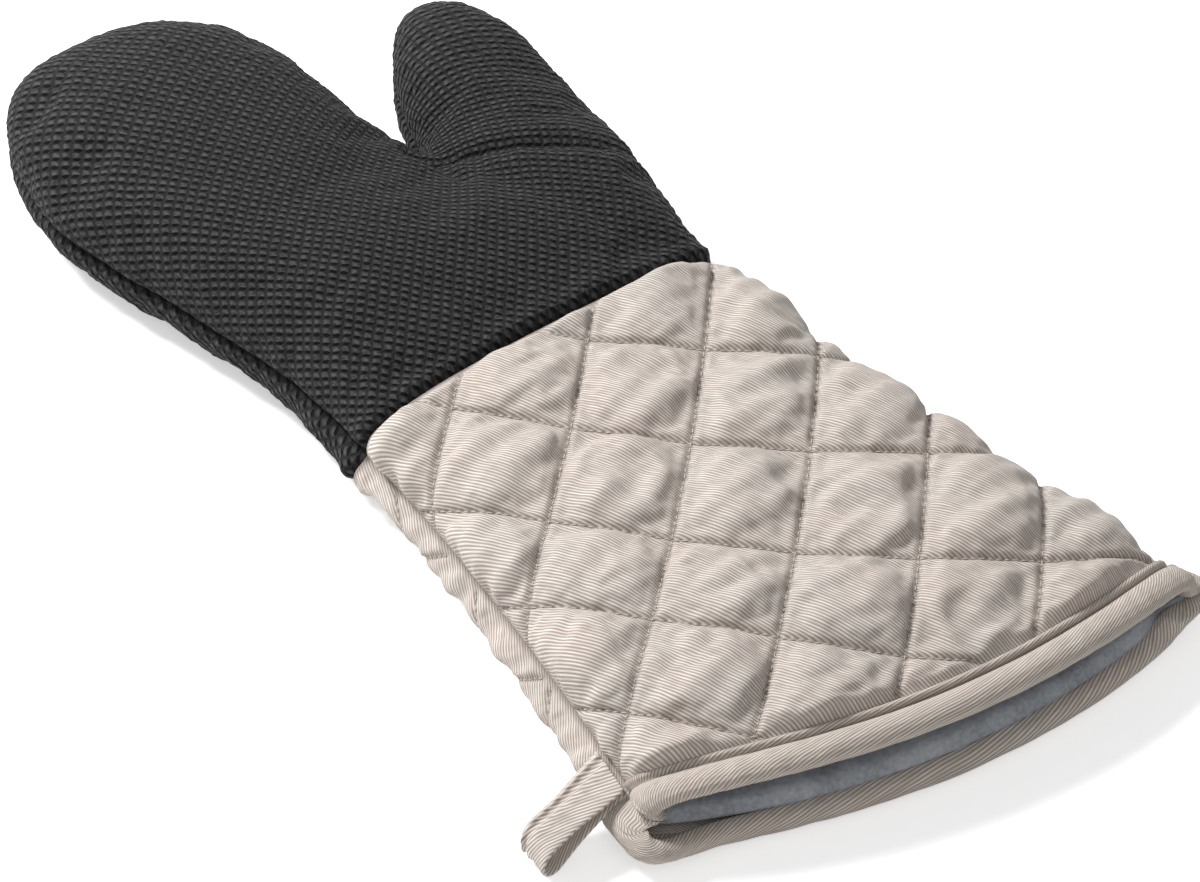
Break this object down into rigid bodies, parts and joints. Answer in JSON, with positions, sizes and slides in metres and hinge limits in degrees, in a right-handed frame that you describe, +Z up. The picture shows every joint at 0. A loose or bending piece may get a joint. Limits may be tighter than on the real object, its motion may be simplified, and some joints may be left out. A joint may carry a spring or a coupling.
{
  "type": "oven mitt",
  "caption": "Gauntlet oven mitt with a padded black hand and thumb, a long quilted twill cuff, a bound mouth and a hanging loop at the cuff's edge.",
  "frame": {"origin": "middle of the bounding box on the resting face, the mitt lying on its palm", "axes": "+Y along the mitt toward the fingertips, +X toward the thumb side, +Z up from the palm to the back"},
  "size_m": [0.2348, 0.4078, 0.043],
  "materials": {
    "hand_shell": "matte textured coated fabric",
    "cuff_shell": "soft cotton twill",
    "wadding": "loose fibre wadding",
    "lining": "plain cotton lining",
    "binding": "cotton twill cut on the bias",
    "loop_tape": "cotton twill tape"
  },
  "bodies": {
    "mitt": {"hand_back_shell": "hand_shell", "hand_back_wadding": "wadding", "hand_back_lining": "lining", "hand_palm_shell": "hand_shell", "hand_palm_wadding": "wadding", "hand_palm_lining": "lining", "cuff_back_shell": "cuff_shell", "cuff_back_wadding": "wadding", "cuff_back_lining": "lining", "cuff_palm_shell": "cuff_shell", "cuff_palm_wadding": "wadding", "cuff_palm_lining": "lining", "mouth_binding": "binding"},
    "loop": {"hanging_loop": "loop_tape"}
  },
  "joints": [
    {"name": "loop_fold", "type": "hinge", "parent": "mitt", "child": "loop", "pos_m": [-0.08063, -0.14743, 0.01545], "axis": [0.1869, 0.9824, 0], "range_deg": [0, 110]}
  ]
}
